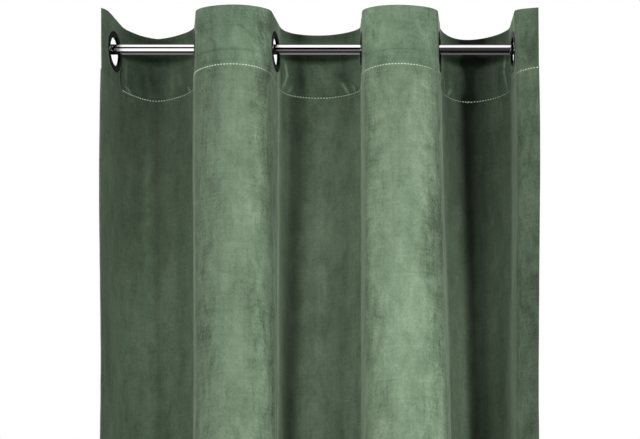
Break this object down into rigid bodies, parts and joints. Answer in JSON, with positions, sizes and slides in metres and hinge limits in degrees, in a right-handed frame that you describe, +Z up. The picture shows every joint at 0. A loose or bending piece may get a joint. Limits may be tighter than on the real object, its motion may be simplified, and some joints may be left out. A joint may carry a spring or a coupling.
{
  "type": "eyelet curtain on a rod",
  "caption": "Green velvet eyelet curtain hanging in deep vertical folds from a plain round rod that runs through its metal eyelets.",
  "frame": {"origin": "middle of the rod's axis", "axes": "+X along the rod to the right seen from the room, +Y from the room to the wall, +Z up"},
  "size_m": [0.5977, 0.1677, 1.83],
  "materials": {
    "velvet": "short-pile velvet, sage to bottle green, soft sheen",
    "heading": "the same velvet, folded over and stiffened",
    "eyelet": "polished dark chrome",
    "rod": "polished chrome"
  },
  "bodies": {
    "root": {"rod": "rod", "heading": "heading", "panel": "velvet", "eyelet_front_1": "eyelet", "eyelet_front_2": "eyelet", "eyelet_front_3": "eyelet", "eyelet_front_4": "eyelet", "eyelet_front_5": "eyelet", "eyelet_front_6": "eyelet", "eyelet_back_1": "eyelet", "eyelet_back_2": "eyelet", "eyelet_back_3": "eyelet", "eyelet_back_4": "eyelet", "eyelet_back_5": "eyelet", "eyelet_back_6": "eyelet"}
  },
  "joints": []
}
